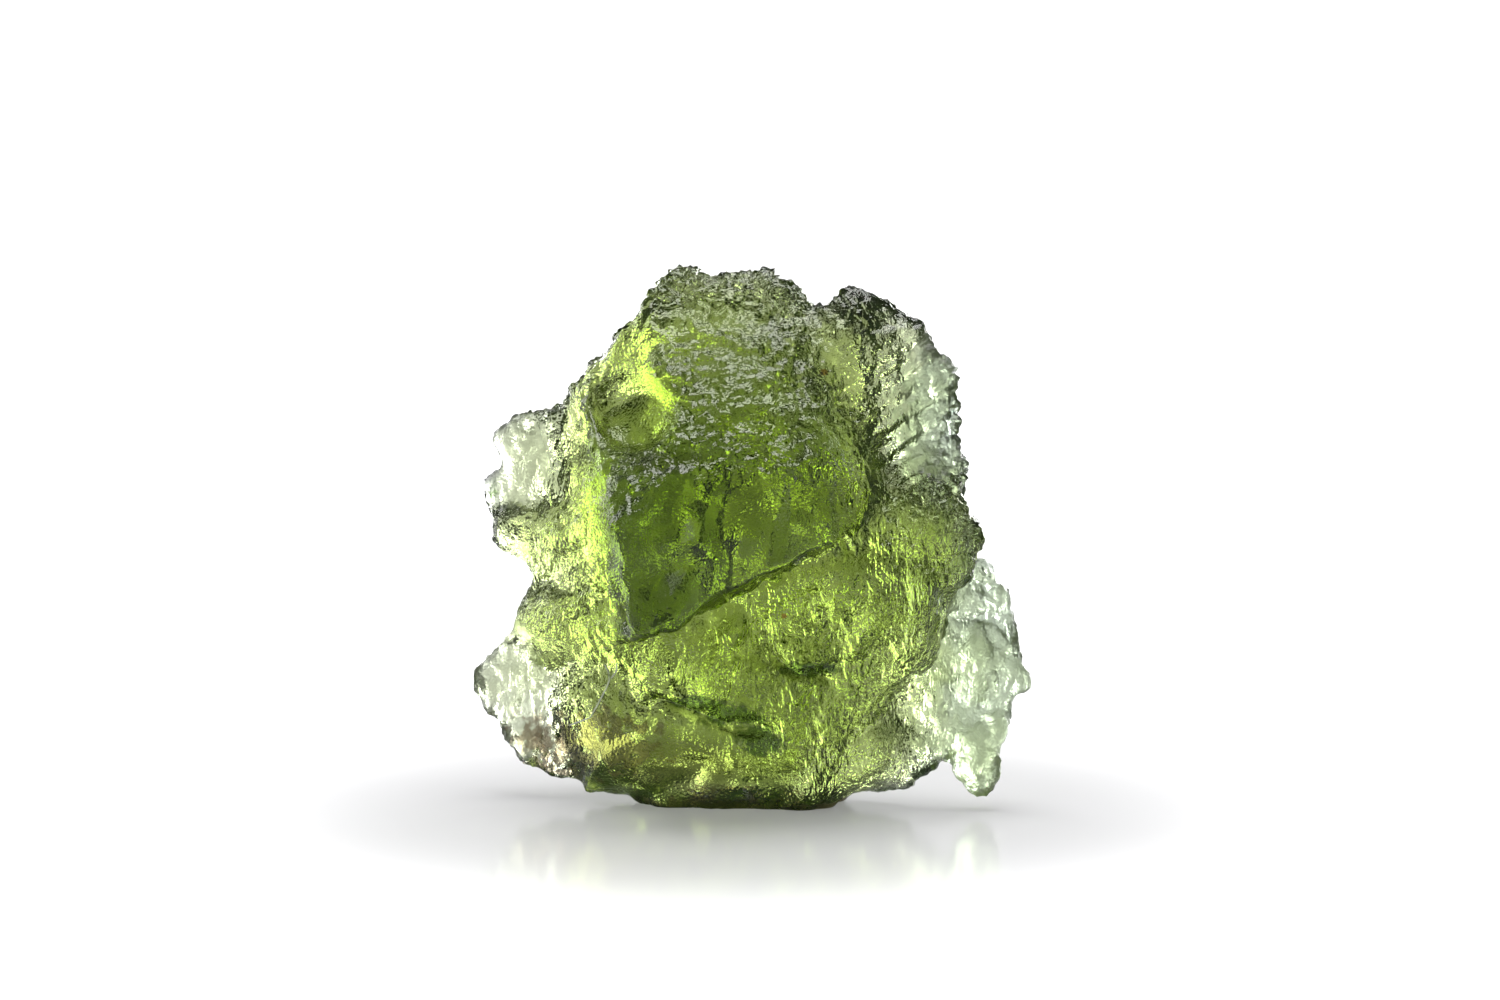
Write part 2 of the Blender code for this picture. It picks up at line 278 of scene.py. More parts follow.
class Tear(Enum):
    """How wide the tears in a spot's edge are, in millimetres."""

    SPECK = 0.08
    FINE = 0.4
    BROAD = 1.0


@dataclass(frozen=True)
class Spot:
    """One soft spot on the stone, in millimetres: its middle, its reach and how much it is broken up."""

    centre: Place
    reach: Place
    breakup: float
    tear: Tear


@dataclass(frozen=True)
class Tint:
    """A colour that lies on the stone in soft spots."""

    colour: Colour
    spots: tuple[Spot, ...]


class SpotSheet:
    """Puts soft spots into one material."""

    def __init__(self, tree: bpy.types.ShaderNodeTree, place: bpy.types.NodeSocket) -> None:
        """Set up the group and the noises that the spots share.

        Args:
            tree: the material's nodes.
            place: socket with the place on the surface.
        """
        self.tree = tree
        self.place = place
        self.group = soft_spot_group()
        self.torn = {tear: noise_of(tree, place, tear.value, 2.0) for tear in Tear}

    def spot_mask(self, spot: Spot) -> bpy.types.NodeSocket:
        """Place one spot.

        Args:
            spot: the spot.

        Returns:
            The socket that gives its mask.
        """
        node = self.tree.nodes.new("ShaderNodeGroup")
        node.node_tree = self.group
        node.inputs["Centre"].default_value = tuple(value * MM for value in spot.centre)
        node.inputs["Stretch"].default_value = tuple(1.0 / value for value in spot.reach)
        node.inputs["Radius"].default_value = MM
        node.inputs["Breakup"].default_value = spot.breakup
        self.tree.links.new(self.torn[spot.tear], node.inputs["Torn"])
        self.tree.links.new(self.place, node.inputs["Place"])
        return node.outputs["Mask"]

    def mask(self, spots: tuple[Spot, ...]) -> bpy.types.NodeSocket:
        """Join several spots.

        Args:
            spots: the spots.

        Returns:
            The socket that gives the largest of their masks.
        """
        joined = self.spot_mask(spots[0])
        for spot in spots[1:]:
            joined = computed(self.tree, "MAXIMUM", joined, self.spot_mask(spot))
        return joined


@dataclass(frozen=True)
class EtchedGlass:
    """Green natural glass: clear inside, finely pitted on its skin, with clay and rust in some hollows and
    painted shade in some places.

    Sizes are in millimetres, angles in degrees, and the density of the green is per metre.
    """

    surface_tint: Colour = (0.96, 1.0, 0.96, 1.0)
    depth_colour: Colour = (0.57, 0.655, 0.1, 1.0)
    density: float = 560.0
    ior: float = 1.49
    smooth: float = 0.0
    rough: float = 0.08
    rough_size: float = 1.6
    rough_from: Pair = (0.52, 0.68)
    frosted: float = 0.32
    grain_size: float = 0.09
    grain_height: float = 0.03
    run_width: float = 0.19
    run_stretch: float = 0.4
    run_height: float = 5.0
    run_bend: float = 0.6
    run_lean: float = 6.0
    calm_share: float = 0.5
    calm_softness: float = 0.16
    clay_dullness: float = 0.8
    haze: Tint = Tint((0.73, 0.83, 0.75, 1.0), (
        Spot((8.2, 1.0, 4.4), (2.8, 5.0, 6.2), 1.6, Tear.BROAD),
        Spot((6.4, 1.0, 12.6), (1.6, 5.0, 2.6), 1.8, Tear.FINE),
    ))
    # Painted shade: a yellow-green tint that darkens and deepens the lower body, the right flank and the
    # smooth lens at the foot.
    painted_deep_shade: Tint = Tint((0.76, 0.87, 0.50, 1.0), (
        Spot((1.9, -1.0, 4.4), (4.6, 4.0, 3.9), 0.6, Tear.BROAD),
        Spot((4.6, -1.0, 8.0), (2.0, 4.0, 2.6), 0.6, Tear.BROAD),
        Spot((-1.4, -1.0, 1.2), (3.4, 4.0, 1.6), 0.6, Tear.BROAD),
    ))
    # Painted shade: a grey tint that darkens the smooth lens at the foot, the dark line along the prow's top
    # edge and the shadowed zone under the prow.
    dim: Tint = Tint((0.42, 0.42, 0.33, 1.0), (
        Spot((-2.5, -1.0, 1.5), (2.3, 3.5, 1.1), 0.5, Tear.BROAD),
        Spot((-2.9, -4.2, 12.1), (1.6, 2.0, 0.35), 0.6, Tear.FINE),
        Spot((-3.6, -3.5, 7.0), (1.4, 2.0, 0.5), 0.6, Tear.FINE),
    ))
    clay: Tint = Tint((0.23, 0.17, 0.13, 1.0), (
        Spot((-5.0, -1.0, 2.2), (1.9, 3.0, 1.1), 2.6, Tear.FINE),
        Spot((-6.8, 0.0, 1.8), (2.0, 3.0, 1.2), 2.4, Tear.FINE),
        # This clay along the base is also painted shade: it darkens the underside where the stone meets the
        # floor.
        Spot((0.0, 1.2, 0.0), (4.4, 2.9, 0.5), 1.4, Tear.FINE),
    ))
    shade: Tint = Tint((0.06, 0.10, 0.04, 1.0), (
        Spot((-1.7, -1.0, 3.7), (1.1, 3.0, 0.28), 1.6, Tear.FINE),
        Spot((-0.6, -1.0, 3.25), (1.2, 3.0, 0.42), 1.6, Tear.FINE),
        Spot((0.3, -1.0, 2.5), (0.9, 3.0, 0.5), 1.8, Tear.FINE),
        Spot((1.9, -1.0, 4.9), (1.0, 3.0, 0.25), 1.8, Tear.FINE),
        Spot((-8.7, 0.0, 10.3), (0.35, 3.5, 0.5), 1.6, Tear.FINE),
    ))
    rust: Tint = Tint((0.50, 0.18, 0.05, 1.0), (
        Spot((1.1, -1.5, 6.6), (0.10, 3.0, 0.08), 0.8, Tear.SPECK),
        Spot((2.4, -1.0, 14.7), (0.14, 3.0, 0.10), 0.8, Tear.SPECK),
    ))
    calm_spots: tuple[Spot, ...] = (
        Spot((-0.8, -5.0, 9.2), (3.3, 2.4, 2.8), 0.3, Tear.BROAD),
        Spot((0.0, 4.0, 8.8), (3.4, 2.6, 3.2), 0.3, Tear.BROAD),
    )
    frosted_spots: tuple[Spot, ...] = (
        Spot((8.0, 1.0, 4.2), (2.2, 4.0, 5.6), 0.3, Tear.BROAD),
        Spot((-8.3, 1.5, 3.4), (1.7, 4.0, 2.9), 0.3, Tear.BROAD),
        Spot((-8.2, 1.5, 11.4), (1.7, 4.0, 2.1), 0.3, Tear.BROAD),
        Spot((6.3, 1.0, 13.5), (1.7, 4.0, 3.2), 0.3, Tear.BROAD),
    )
    run_spots: tuple[Spot, ...] = (
        Spot((2.9, 0.0, 4.8), (4.6, 9.0, 4.0), 0.6, Tear.BROAD),
        Spot((-6.0, 0.0, 8.2), (1.5, 9.0, 4.0), 0.4, Tear.BROAD),
        Spot((5.6, 0.0, 8.6), (2.2, 9.0, 2.6), 0.4, Tear.BROAD),
    )

    def tinted(self, sheet: SpotSheet, clay: bpy.types.NodeSocket) -> bpy.types.NodeSocket:
        """Lay the tints over one another, the rust last.

        Args:
            sheet: puts the spots into the material.
            clay: socket with the clay's mask.

        Returns:
            The socket with the surface colour.
        """
        colour: Colour | bpy.types.NodeSocket = self.surface_tint
        for tint in (self.haze, self.painted_deep_shade, self.dim, self.clay, self.shade, self.rust):
            mask = clay if tint is self.clay else sheet.mask(tint.spots)
            colour = mixed(sheet.tree, mask, colour, tint.colour)
        return colour

    def grained(self, sheet: SpotSheet, calm: bpy.types.NodeSocket) -> bpy.types.NodeSocket:
        """Make the finest grain and runs, weaker where the surface is calm.

        Args:
            sheet: puts the spots into the material.
            calm: socket with the calm places' mask.

        Returns:
            The socket with the normal.
        """
        tree = sheet.tree
        grain = noise_of(tree, sheet.place, self.grain_size, 0.0)
        stretch = tree.nodes.new("ShaderNodeMapping")
        stretch.inputs["Rotation"].default_value = (0.0, math.radians(self.run_lean), 0.0)
        stretch.inputs["Scale"].default_value = (1.0, 1.0, self.run_stretch)
        tree.links.new(sheet.place, stretch.inputs["Vector"])
        runs = noise_of(tree, stretch.outputs["Vector"], self.run_width, 1.0, self.run_bend)
        share = computed(tree, "MULTIPLY", sheet.mask(self.run_spots), self.run_height)
        bump = tree.nodes.new("ShaderNodeBump")
        bump.inputs["Distance"].default_value = self.grain_height * MM
        tree.links.new(mapped(tree, calm, (0.0, 1.0), (1.0, self.calm_share)), bump.inputs["Strength"])
        tree.links.new(computed(tree, "MULTIPLY_ADD", runs, share, grain), bump.inputs["Height"])
        return bump.outputs["Normal"]

    def dulled(self, sheet: SpotSheet, clay: bpy.types.NodeSocket, calm: bpy.types.NodeSocket
               ) -> bpy.types.NodeSocket:
        """Vary the roughness: patches, frosted places, clay and softly worn places.

        Args:
            sheet: puts the spots into the material.
            clay: socket with the clay's mask.
            calm: socket with the calm places' mask.

        Returns:
            The socket with the roughness.
        """
        tree = sheet.tree
        frosted = sheet.mask(self.frosted_spots)
        patches = noise_of(tree, sheet.place, self.rough_size, 3.0)
        patches = mapped(tree, patches, self.rough_from, (self.smooth, self.rough))
        dullest = computed(tree, "MAXIMUM", frosted, computed(tree, "MULTIPLY", clay, self.clay_dullness))
        duller = computed(tree, "MULTIPLY_ADD", dullest, self.frosted, patches)
        return computed(tree, "MULTIPLY_ADD", calm, self.calm_softness, duller)

    def material(self) -> bpy.types.Material:
        """Build the material.

        Returns:
            The glass, ready to put on a mesh.
        """
        glass = bpy.data.materials.new("etched_green_glass")
        glass.use_nodes = True
        tree = glass.node_tree
        shader = tree.nodes["Principled BSDF"]
        shader.inputs["Metallic"].default_value = 0.0
        shader.inputs["IOR"].default_value = self.ior
        shader.inputs["Transmission Weight"].default_value = 1.0
        sheet = SpotSheet(tree, tree.nodes.new("ShaderNodeTexCoord").outputs["Object"])
        clay = sheet.mask(self.clay.spots)
        calm = sheet.mask(self.calm_spots)
        tree.links.new(self.tinted(sheet, clay), shader.inputs["Base Color"])
        tree.links.new(self.grained(sheet, calm), shader.inputs["Normal"])
        tree.links.new(self.dulled(sheet, clay, calm), shader.inputs["Roughness"])
        absorb = tree.nodes.new("ShaderNodeVolumeAbsorption")
        absorb.inputs["Color"].default_value = self.depth_colour
        absorb.inputs["Density"].default_value = self.density
        tree.links.new(absorb.outputs["Volume"], tree.nodes["Material Output"].inputs["Volume"])
        return glass


class Relief(Enum):
    """What the etching has left on a patch of skin."""

    RUNS = "short steep ridges that run down the face"
    STEPS = "torn rows across the face, each a small ledge"
    COMB = "fine close grooves"
    FLUTES = "broad upright folds"
    LUMPS = "soft lumps and dents"
    CREVICE = "a dark split across the face"
    BOWL = "a smooth hollow with a steep edge"
    SHELL = "a smooth swelling with a curved step at its edge"
    TEETH = "small sharp teeth on a frayed rim"
    CALM = "worn smooth"


@dataclass(frozen=True)
class Patch:
    """One part of the skin with a relief of its own. Lengths are in millimetres as the camera sees them.

    Places are across and up in the view: across from the middle, up from the floor's edge under the stone.
    """

    relief: Relief
    centre: Pair
    reach: Pair
    turn: float
    height: float
    side: float = -1.0

    def mask(self, view: Field, facing: Field) -> Field:
        """How far each point belongs to the patch.

        Args:
            view: rows of across, up and away.
            facing: how far each point's normal points away from the camera, -1 to 1.

        Returns:
            One value a row, 0 outside and 1 well inside.
        """
        along, across = self.turned(view)
        away = np.hypot(along / self.reach[0], across / self.reach[1])
        return smooth_step(away, 1.15, 0.7) * smooth_step(self.side * facing, -0.1, 0.2)

    def turned(self, view: Field) -> tuple[Field, Field]:
        """Places along and across the patch, from its centre."""
        turn = math.radians(self.turn)
        right = view[:, 0] - self.centre[0]
        up = view[:, 1] - self.centre[1]
        return right * math.cos(turn) + up * math.sin(turn), up * math.cos(turn) - right * math.sin(turn)


PATCHES = (
    Patch(Relief.RUNS, (1.6, 4.4), (4.6, 3.8), -8.0, 0.09),
    Patch(Relief.RUNS, (-4.6, 8.0), (1.3, 4.4), 0.0, 0.12),
    Patch(Relief.STEPS, (0.6, 14.2), (4.4, 3.2), -10.0, 0.20),
    Patch(Relief.STEPS, (0.2, 12.2), (2.6, 1.2), -14.0, 0.18),
    Patch(Relief.COMB, (6.0, 13.0), (2.6, 3.6), 34.0, 0.22),
    Patch(Relief.CALM, (-2.6, 1.4), (2.8, 1.6), 0.0, 1.0),
    Patch(Relief.CALM, (-3.9, 13.1), (1.6, 1.5), 0.0, 0.8),
    Patch(Relief.CALM, (-4.0, 15.0), (1.1, 1.0), 0.0, 0.5),
    Patch(Relief.CALM, (-1.0, 8.5), (3.4, 2.8), 0.0, 0.8),
    Patch(Relief.CALM, (-0.2, 8.6), (4.2, 3.6), 0.0, 0.6, 1.0),
    Patch(Relief.CALM, (-7.0, 11.6), (1.6, 1.2), 0.0, 0.8),
    Patch(Relief.CREVICE, (-1.2, 3.0), (2.0, 0.7), -17.0, 0.35),
    Patch(Relief.CREVICE, (1.7, 4.6), (1.1, 0.5), -24.0, 0.30),
    Patch(Relief.CREVICE, (2.8, 10.1), (2.0, 0.7), -74.0, 0.22),
    Patch(Relief.BOWL, (-3.9, 13.1), (1.6, 1.5), 0.0, 0.45),
    Patch(Relief.SHELL, (-3.0, 0.3), (3.3, 2.9), 0.0, 0.16),
    Patch(Relief.LUMPS, (8.0, 4.4), (2.2, 5.4), 0.0, 0.20),
    Patch(Relief.LUMPS, (-8.2, 3.4), (1.8, 2.6), 0.0, 0.22),
    Patch(Relief.LUMPS, (-6.2, 6.6), (1.8, 2.6), 0.0, 0.18),
    Patch(Relief.CALM, (-4.35, 8.4), (0.9, 3.2), 12.0, 0.6),
    Patch(Relief.CALM, (-0.2, 0.8), (4.6, 1.1), 0.0, 0.7),
    Patch(Relief.CALM, (-0.2, 1.2), (4.6, 1.5), 0.0, 0.7, 1.0),
    Patch(Relief.TEETH, (-0.8, 17.4), (4.6, 1.2), -3.0, 0.14),
    Patch(Relief.TEETH, (-0.8, 17.4), (4.6, 1.2), -3.0, 0.20, 1.0),
    Patch(Relief.TEETH, (6.9, 11.6), (1.1, 5.4), 8.0, 0.17, 1.0),
    Patch(Relief.TEETH, (7.2, 11.0), (0.8, 5.0), 8.0, 0.17),
    Patch(Relief.TEETH, (-5.9, 14.4), (0.9, 3.4), -42.0, 0.18, 1.0),
    Patch(Relief.FLUTES, (0.4, 8.6), (4.2, 4.4), 6.0, 0.40, 1.0),
    Patch(Relief.FLUTES, (-0.5, 9.0), (8.0, 8.5), 6.0, 0.10, 1.0),
    Patch(Relief.LUMPS, (8.0, 4.4), (2.2, 5.4), 0.0, 0.20, 1.0),
    Patch(Relief.CALM, (-2.6, 1.7), (2.8, 1.9), 0.0, 0.9, 1.0),
)


@dataclass
class Stone:
    """The moldavite's fine skin over its solid. Lengths are in millimetres."""

    node: str = "moldavite"
    mesh_size: float = 0.075
    triangles: int = 196000
    pit_size: float = 0.36
    pit_depth: float = 0.13
    finest_pits: Pair = (0.17, 0.07)
    flow_stretch: float = 0.6
    ridge_size: float = 0.34
    row_sizes: Place = (0.42, 0.22, 0.13)
    row_heights: Place = (0.8, 0.5, 0.3)
    row_gaps: float = 0.55
    lump_size: float = 0.8
    split_width: float = 0.16
    fold_size: float = 1.1
    teeth_sizes: Pair = (0.30, 0.16)
    groove_size: float = 0.28
    rim_sharpness: Pair = (1.2, 3.5)
    rim_sizes: Pair = (0.3, 0.15)
    rim_heights: Pair = (0.20, 0.12)
    foot_height: Pair = (0.02, 0.35)
    weld: float = 0.001
    view_rise: float = 10.233
    glass: EtchedGlass = field(default_factory=EtchedGlass)

    def build(self) -> bpy.types.Object:
        """Build the fine skin.

        Returns:
            The object that stands for the solid.
        """
        solid = self.welded(bpy.data.objects[self.node].data)
        corners = points_of(solid)
        mesh = evaluated_copy("moldavite_skin", solid, "SUBSURF", {"levels": 1, "render_levels": 1})
        voxels = {"mode": "VOXEL", "voxel_size": self.mesh_size}
        mesh = evaluated_copy("moldavite_skin", mesh, "REMESH", voxels)
        self.etch(mesh)
        share = self.triangles / (2.0 * len(mesh.polygons))
        mesh = evaluated_copy("moldavite_skin", mesh, "DECIMATE", {"ratio": min(share, 1.0)})
        set_points(mesh, np.clip(points_of(mesh), corners.min(axis=0), corners.max(axis=0)))
        mesh.transform(Matrix.Scale(MM, 4))
        mesh.shade_smooth()
        skin = bpy.data.objects.new("moldavite_skin", mesh)
        bpy.context.scene.collection.objects.link(skin)
        return skin

    def welded(self, solid: bpy.types.Mesh) -> bpy.types.Mesh:
        """Copy the solid's mesh in millimetres, with its faces joined at their edges.

        Args:
            solid: the solid's mesh in metres.

        Returns:
            One closed mesh in millimetres.
        """
        bm = bmesh.new()
        bm.from_mesh(solid)
        bm.transform(Matrix.Scale(1.0 / MM, 4))
        bmesh.ops.remove_doubles(bm, verts=bm.verts, dist=self.weld)
        mesh = bpy.data.meshes.new("moldavite_skin")
        bm.to_mesh(mesh)
        bm.free()
        return mesh

    def seen(self, co: Field) -> Field:
        """Turn places into across, up and away as the camera sees them.

        Args:
            co: rows of x, y and z.

        Returns:
            Rows of across, up and away.
        """
        lean = math.radians(VIEW_HEIGHT)
        right, back, rise = (co - np.array(VIEW_MIDDLE)).T
        up = rise * math.cos(lean) + back * math.sin(lean) + self.view_rise
        away = back * math.cos(lean) - rise * math.sin(lean)
        return np.column_stack([right, up, away])

    def skin_place(self, surface: BVHTree, across: float, up: float, lift: float) -> Vector:
        """Find the place on the skin that the camera sees at a place in the view.

        Args:
            surface: the skin, in metres.
            across: how far right of the middle.
            up: how far above the floor's edge under the stone.
            lift: how far above the skin the place lies.

        Returns:
            The place, in metres.
        """
        lean = math.radians(VIEW_HEIGHT)
        ahead = Vector((0.0, math.cos(lean), -math.sin(lean)))
        rise = Vector((0.0, math.sin(lean), math.cos(lean)))
        aim = Vector(VIEW_MIDDLE) + Vector((across, 0.0, 0.0)) + rise * (up - self.view_rise)
        hit, normal, _, _ = surface.ray_cast((aim - ahead * CLEAR_OF_STONE) * MM, ahead)
        return hit + normal * lift * MM

    def relief(self, patch: Patch, view: Field) -> Field:
        """Height of a patch's own relief, from about -1 to 1.

        Args:
            patch: the patch.
            view: rows of across, up and away.

        Returns:
            One value a row.
        """
        along, across = patch.turned(view)
        bend = 0.25 * waver(view, 1.4, 3.0)
        if patch.relief is Relief.RUNS:
            rows = np.column_stack([along + bend, across * 0.42, view[:, 2] * 0.42])
            ridge = 1.0 - 2.2 * np.abs(waver(rows, self.ridge_size, 11.0))
            return ridge * (0.75 + 0.5 * waver(view, 0.9, 5.0))
        if patch.relief is Relief.STEPS:
            rows = np.column_stack([along * 0.42, across + bend, view[:, 2] * 0.6])
            torn = self.row_heights[0] * waver(rows, self.row_sizes[0], 17.0)
            torn += self.row_heights[1] * waver(view, self.row_sizes[1], 23.0)
            torn += self.row_heights[2] * waver(view, self.row_sizes[2], 27.0)
            return torn * np.clip(0.7 + 1.4 * waver(view, self.row_gaps, 41.0), 0.0, 1.4)
        if patch.relief is Relief.LUMPS:
            return 1.3 * waver(view, self.lump_size, 37.0)
        if patch.relief is Relief.CREVICE:
            return -np.exp(-(((across + 1.2 * bend) / self.split_width) ** 2))
        if patch.relief is Relief.BOWL:
            return -smooth_step(np.hypot(along / patch.reach[0], across / patch.reach[1]), 0.95, 0.45)
        if patch.relief is Relief.SHELL:
            away = np.hypot(along / patch.reach[0], across / patch.reach[1])
            return smooth_step(away + 0.1 * bend, 0.84, 0.72)
        if patch.relief is Relief.FLUTES:
            rows = np.column_stack([along + 1.6 * bend, across * 0.3, view[:, 2] * 0.3])
            return waver(rows, self.fold_size, 31.0)
        if patch.relief is Relief.TEETH:
            return waver(view, self.teeth_sizes[0], 53.0) + 0.7 * waver(view, self.teeth_sizes[1], 57.0)
        if patch.relief is Relief.COMB:
            rows = np.column_stack([along * 0.2, across + 0.3 * bend, view[:, 2] * 0.2])
            return waver(rows, self.groove_size, 29.0)
        return np.zeros(len(view))

    def etch(self, mesh: bpy.types.Mesh) -> None:
        """Cut pits, runs, steps and frayed rims into the skin.

        Args:
            mesh: the skin in millimetres.
        """
        co = points_of(mesh)
        normal = points_of(mesh, "normal")
        view = self.seen(co)
        facing = normal[:, 1]
        flow = co * np.array([1.0, 1.0, self.flow_stretch])
        rim = smooth_step(self.sharpness(mesh, co, normal) / self.mesh_size**2, *self.rim_sharpness)
        broad = waver(co, 1.1, 7.0)
        pits = 0.75 - cell_distance(flow, self.pit_size, 0.0)
        depth = -self.pit_depth * pits * (0.9 + 0.8 * broad)
        depth += self.finest_pits[1] * waver(flow, self.finest_pits[0], 1.0)
        for patch in PATCHES:
            mask = patch.mask(view, facing)
            inside = mask > 0.0
            if patch.relief is Relief.CALM:
                depth *= 1.0 - patch.height * mask
            else:
                depth[inside] += patch.height * mask[inside] * self.relief(patch, view[inside])
        teeth = self.rim_heights[0] * waver(co, self.rim_sizes[0], 9.0)
        teeth += self.rim_heights[1] * waver(co, self.rim_sizes[1], 43.0)
        depth += rim * (teeth - 0.03)
        level = smooth_step(co[:, 2], *self.foot_height) + smooth_step(normal[:, 2], -0.98, -0.8)
        depth *= np.clip(level, 0.0, 1.0)
        set_points(mesh, co + normal * depth[:, None])

    def sharpness(self, mesh: bpy.types.Mesh, co: Field, normal: Field) -> Field:
        """How far each point stands out from its neighbours, in millimetres.

        Args:
            mesh: the skin, for its edges.
            co: its points.
            normal: their normals.

        Returns:
            One value a point, above zero on crests and rims.
        """
        ends = np.empty(len(mesh.edges) * 2, dtype=np.int64)
        mesh.edges.foreach_get("vertices", ends)
        ends = ends.reshape(-1, 2)
        total = np.zeros_like(co)
        count = np.zeros(len(co))
        for here, there in ((0, 1), (1, 0)):
            np.add.at(total, ends[:, here], co[ends[:, there]])
            np.add.at(count, ends[:, here], 1.0)
        offset = co - total / count[:, None]
        return np.sum(offset * normal, axis=1)

    def dress(self, skin: bpy.types.Object) -> None:
        """Put the glass on the skin and hang it on the frame."""
        skin.data.materials.clear()
        skin.data.materials.append(self.glass.material())
        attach(skin, "root")
        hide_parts(self.node)


@dataclass(frozen=True)
class FibreFinish:
    """Pale, dull textile fibre, a little uneven along its length."""

    pale: Colour = (0.93, 0.93, 0.91, 1.0)
    dim: Colour = (0.74, 0.77, 0.70, 1.0)
    uneven: float = 0.3
    roughness: float = 0.6

    def material(self) -> bpy.types.Material:
        """Build the material.

        Returns:
            The finish, ready to put on a mesh.
        """
        finish = bpy.data.materials.new("pale_fibre")
        finish.use_nodes = True
        tree = finish.node_tree
        shader = tree.nodes["Principled BSDF"]
        shader.inputs["Roughness"].default_value = self.roughness
        place = tree.nodes.new("ShaderNodeTexCoord").outputs["Object"]
        uneven = noise_of(tree, place, self.uneven, 2.0)
        tree.links.new(mixed(tree, uneven, self.pale, self.dim), shader.inputs["Base Color"])
        return finish


@dataclass
class Lint:
    """A few fibres caught on the stone. Lines are across and up in the view, in millimetres."""

    lines: tuple[tuple[Pair, ...], ...] = (
        ((-4.80, 4.73), (-4.66, 4.52), (-4.63, 4.30), (-4.76, 3.95),
         (-4.97, 3.53), (-5.12, 3.28), (-5.27, 3.03)),
        ((-4.40, 4.83), (-4.38, 4.62), (-4.43, 4.50), (-4.60, 4.33)),
        ((-5.30, 3.00), (-5.62, 2.86), (-6.00, 2.70)),
    )
    width: float = 0.05
    lift: float = 0.04
    finish: FibreFinish = field(default_factory=FibreFinish)

    def build(self, stone: Stone, skin: bpy.types.Object) -> bpy.types.Object:
        """Lay the fibres on the skin.

        Args:
            stone: says how the camera sees the stone.
            skin: the skin that they lie on.

        Returns:
            One object with every fibre.
        """
        bm = bmesh.new()
        bm.from_mesh(skin.data)
        surface = BVHTree.FromBMesh(bm)
        bm.free()
        data = bpy.data.curves.new("lint_fibres", "CURVE")
        data.dimensions = "3D"
        data.bevel_depth = 0.5 * self.width * MM
        data.bevel_resolution = 1
        data.resolution_u = 4
        data.use_fill_caps = True
        for line in self.lines:
            places = [stone.skin_place(surface, across, up, self.lift) for across, up in line]
            spline = data.splines.new("NURBS")
            spline.points.add(len(places) - 1)
            spline.order_u = 3
            spline.use_endpoint_u = True
            for point, place in zip(spline.points, places):
                point.co = (*place, 1.0)
        thread = bpy.data.objects.new("lint_curves", data)
        bpy.context.scene.collection.objects.link(thread)
        graph = bpy.context.evaluated_depsgraph_get()
        mesh = bpy.data.meshes.new_from_object(thread.evaluated_get(graph))
        bpy.data.objects.remove(thread)
        mesh.shade_smooth()
        lint = bpy.data.objects.new("lint_fibres", mesh)
        bpy.context.scene.collection.objects.link(lint)
        return lint

    def dress(self, lint: bpy.types.Object) -> None:
        """Put the fibre's finish on and hang it on the frame."""
        lint.data.materials.clear()
        lint.data.materials.append(self.finish.material())
        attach(lint, "root")


@dataclass(frozen=True)
class Softbox:
    """A soft square light that points at the stone: its place and side in millimetres, and its radiance."""

    name: str
    place: Place
    size: float
    radiance: float


SOFTBOXES = (
    Softbox("left_window", (-150.0, 120.0, 60.0), 80.0, 3.0),
    Softbox("back_window", (-55.0, 190.0, 30.0), 28.0, 10.0),
    Softbox("right_window", (95.0, 165.0, 45.0), 90.0, 8.0),
    Softbox("top_softbox", (0.0, 20.0, 170.0), 120.0, 6.5),
    Softbox("front_fill", (-120.0, -180.0, 90.0), 90.0, 1.5),
)


@dataclass(frozen=True)
class FloorPaint:
    """Pale glossy paint that glows to the camera, less near the stone, so that a painted shade rings the
    stone. Lengths are in millimetres.
    """

    colour: Colour = (0.55, 0.55, 0.56, 1.0)
    roughness: float = 0.14
    ior: float = 1.2
    glow_colour: Colour = (1.0, 1.0, 1.0, 1.0)
    glow: Pair = (0.20, 0.95)
    # Painted shade: the glow is weaker within this reach of the stone, darkening the floor around it.
    glow_reach: Pair = (10.0, 26.0)

    def material(self) -> bpy.types.Material:
        """Build the material.

        Returns:
            The paint, ready to put on the floor.
        """
        paint = bpy.data.materials.new("pale_floor")
        paint.use_nodes = True
        tree = paint.node_tree
        shader = tree.nodes["Principled BSDF"]
        shader.inputs["Base Color"].default_value = self.colour
        shader.inputs["Roughness"].default_value = self.roughness
        shader.inputs["IOR"].default_value = self.ior
        shader.inputs["Emission Color"].default_value = self.glow_colour
        place = tree.nodes.new("ShaderNodeTexCoord")
        away = tree.nodes.new("ShaderNodeVectorMath")
        away.operation = "LENGTH"
        tree.links.new(place.outputs["Object"], away.inputs[0])
        reach = (self.glow_reach[0] * MM, self.glow_reach[1] * MM)
        # Painted shade around the stone: the glow rises with distance from it.
        glow = mapped(tree, away.outputs["Value"], reach, self.glow, "SMOOTHSTEP")
        path = tree.nodes.new("ShaderNodeLightPath")
        seen = computed(tree, "MULTIPLY", glow, path.outputs["Is Camera Ray"])
        tree.links.new(seen, shader.inputs["Emission Strength"])
        return paint


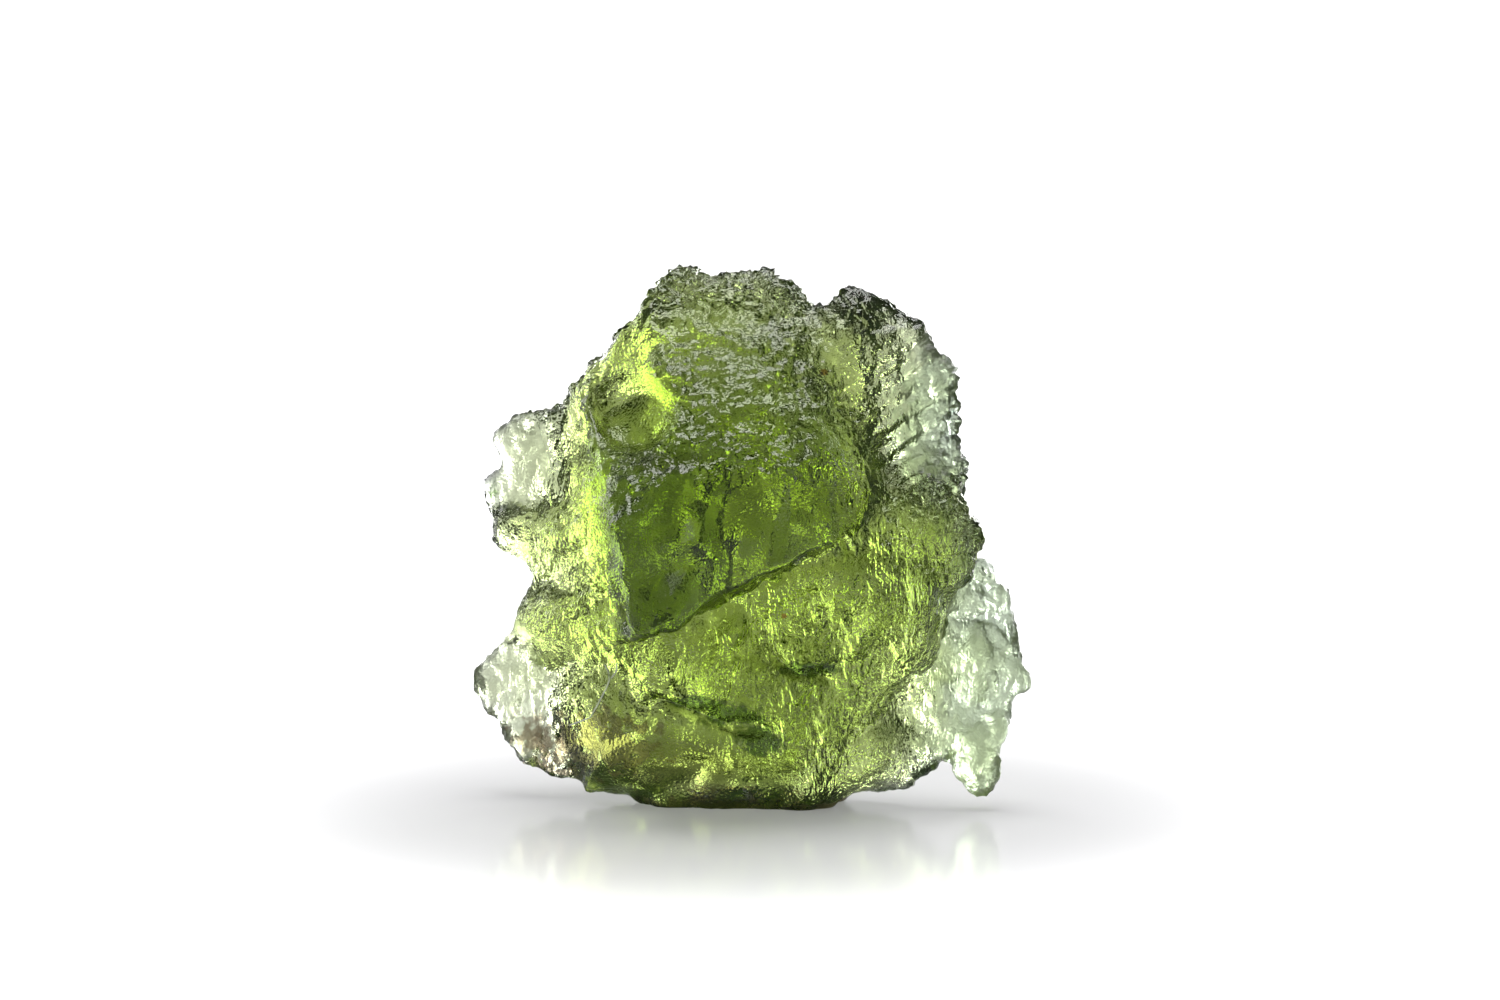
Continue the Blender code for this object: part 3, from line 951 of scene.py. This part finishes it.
@dataclass
class Studio:
    """Floor, lights and camera. Lengths are in millimetres."""

    distance: float = 240.0
    field_width: float = 50.0
    sensor: float = 36.0
    clip: Pair = (0.001, 20.0)
    floor_size: float = 2400.0
    paint: FloorPaint = field(default_factory=FloorPaint)
    room: Pair = (0.30, 0.7)
    room_turn: Pair = (0.80, 0.985)
    backdrop: float = 1.05

    def floor(self) -> bpy.types.Object:
        """Lay the pale floor.

        Returns:
            The floor object.
        """
        mesh = bpy.data.meshes.new("floor")
        bm = bmesh.new()
        bmesh.ops.create_grid(bm, x_segments=1, y_segments=1, size=0.5 * self.floor_size * MM)
        bm.to_mesh(mesh)
        bm.free()
        floor = bpy.data.objects.new("floor", mesh)
        bpy.context.scene.collection.objects.link(floor)
        mesh.materials.append(self.paint.material())
        return floor

    def camera(self) -> bpy.types.Object:
        """Set the camera at the photograph's angle.

        Returns:
            The camera object.
        """
        data = bpy.data.cameras.new("camera")
        data.sensor_width = self.sensor
        data.lens = self.sensor * self.distance / self.field_width
        data.clip_start, data.clip_end = self.clip
        camera = bpy.data.objects.new("camera", data)
        bpy.context.scene.collection.objects.link(camera)
        rise = math.radians(VIEW_HEIGHT)
        back = Vector((0.0, -math.cos(rise), math.sin(rise)))
        camera.location = (Vector(VIEW_MIDDLE) + back * self.distance) * MM
        camera.rotation_euler = back.to_track_quat("Z", "Y").to_euler()
        bpy.context.scene.camera = camera
        return camera

    def hang(self, softbox: Softbox) -> bpy.types.Object:
        """Hang one soft light.

        Args:
            softbox: what it is.

        Returns:
            The light object.
        """
        data = bpy.data.lights.new(softbox.name, "AREA")
        data.shape = "SQUARE"
        data.size = softbox.size * MM
        data.energy = softbox.radiance * math.pi * (softbox.size * MM) ** 2
        light = bpy.data.objects.new(softbox.name, data)
        bpy.context.scene.collection.objects.link(light)
        place = Vector(softbox.place)
        light.location = place * MM
        light.rotation_euler = (place - Vector(VIEW_MIDDLE)).to_track_quat("Z", "Y").to_euler()
        return light

    def sky(self) -> None:
        """Fill the room with soft light, brightest behind the stone and plain white to the camera."""
        world = bpy.data.worlds.new("studio")
        world.use_nodes = True
        tree = world.node_tree
        tree.nodes.clear()
        output = tree.nodes.new("ShaderNodeOutputWorld")
        place = tree.nodes.new("ShaderNodeTexCoord")
        split = tree.nodes.new("ShaderNodeSeparateXYZ")
        tree.links.new(place.outputs["Generated"], split.inputs["Vector"])
        turn = mapped(tree, split.outputs["Y"], self.room_turn, self.room, "SMOOTHSTEP")
        room = tree.nodes.new("ShaderNodeBackground")
        tree.links.new(turn, room.inputs["Strength"])
        plain = tree.nodes.new("ShaderNodeBackground")
        plain.inputs["Color"].default_value = (1.0, 1.0, 1.0, 1.0)
        plain.inputs["Strength"].default_value = self.backdrop
        path = tree.nodes.new("ShaderNodeLightPath")
        mix = tree.nodes.new("ShaderNodeMixShader")
        tree.links.new(path.outputs["Is Camera Ray"], mix.inputs["Fac"])
        tree.links.new(room.outputs["Background"], mix.inputs[1])
        tree.links.new(plain.outputs["Background"], mix.inputs[2])
        tree.links.new(mix.outputs["Shader"], output.inputs["Surface"])
        bpy.context.scene.world = world

    def build(self) -> None:
        """Set up the whole studio."""
        scene = bpy.context.scene
        scene.view_settings.view_transform = "Standard"
        scene.view_settings.look = "None"
        scene.cycles.blur_glossy = 0.0
        self.floor()
        self.camera()
        self.sky()
        for softbox in SOFTBOXES:
            self.hang(softbox)


def main() -> None:
    """Build the stone and the studio, and report each piece."""
    stone = Stone()
    skin = stone.build()
    stone.dress(skin)
    log.info("stone skin: %d faces", len(skin.data.polygons))
    lint = Lint()
    fibres = lint.build(stone, skin)
    lint.dress(fibres)
    log.info("lint: %d fibres, %d faces", len(lint.lines), len(fibres.data.polygons))
    Studio().build()
    log.info("studio: floor, camera, %d softboxes and a soft room", len(SOFTBOXES))


if __name__ == "__main__":
    main()
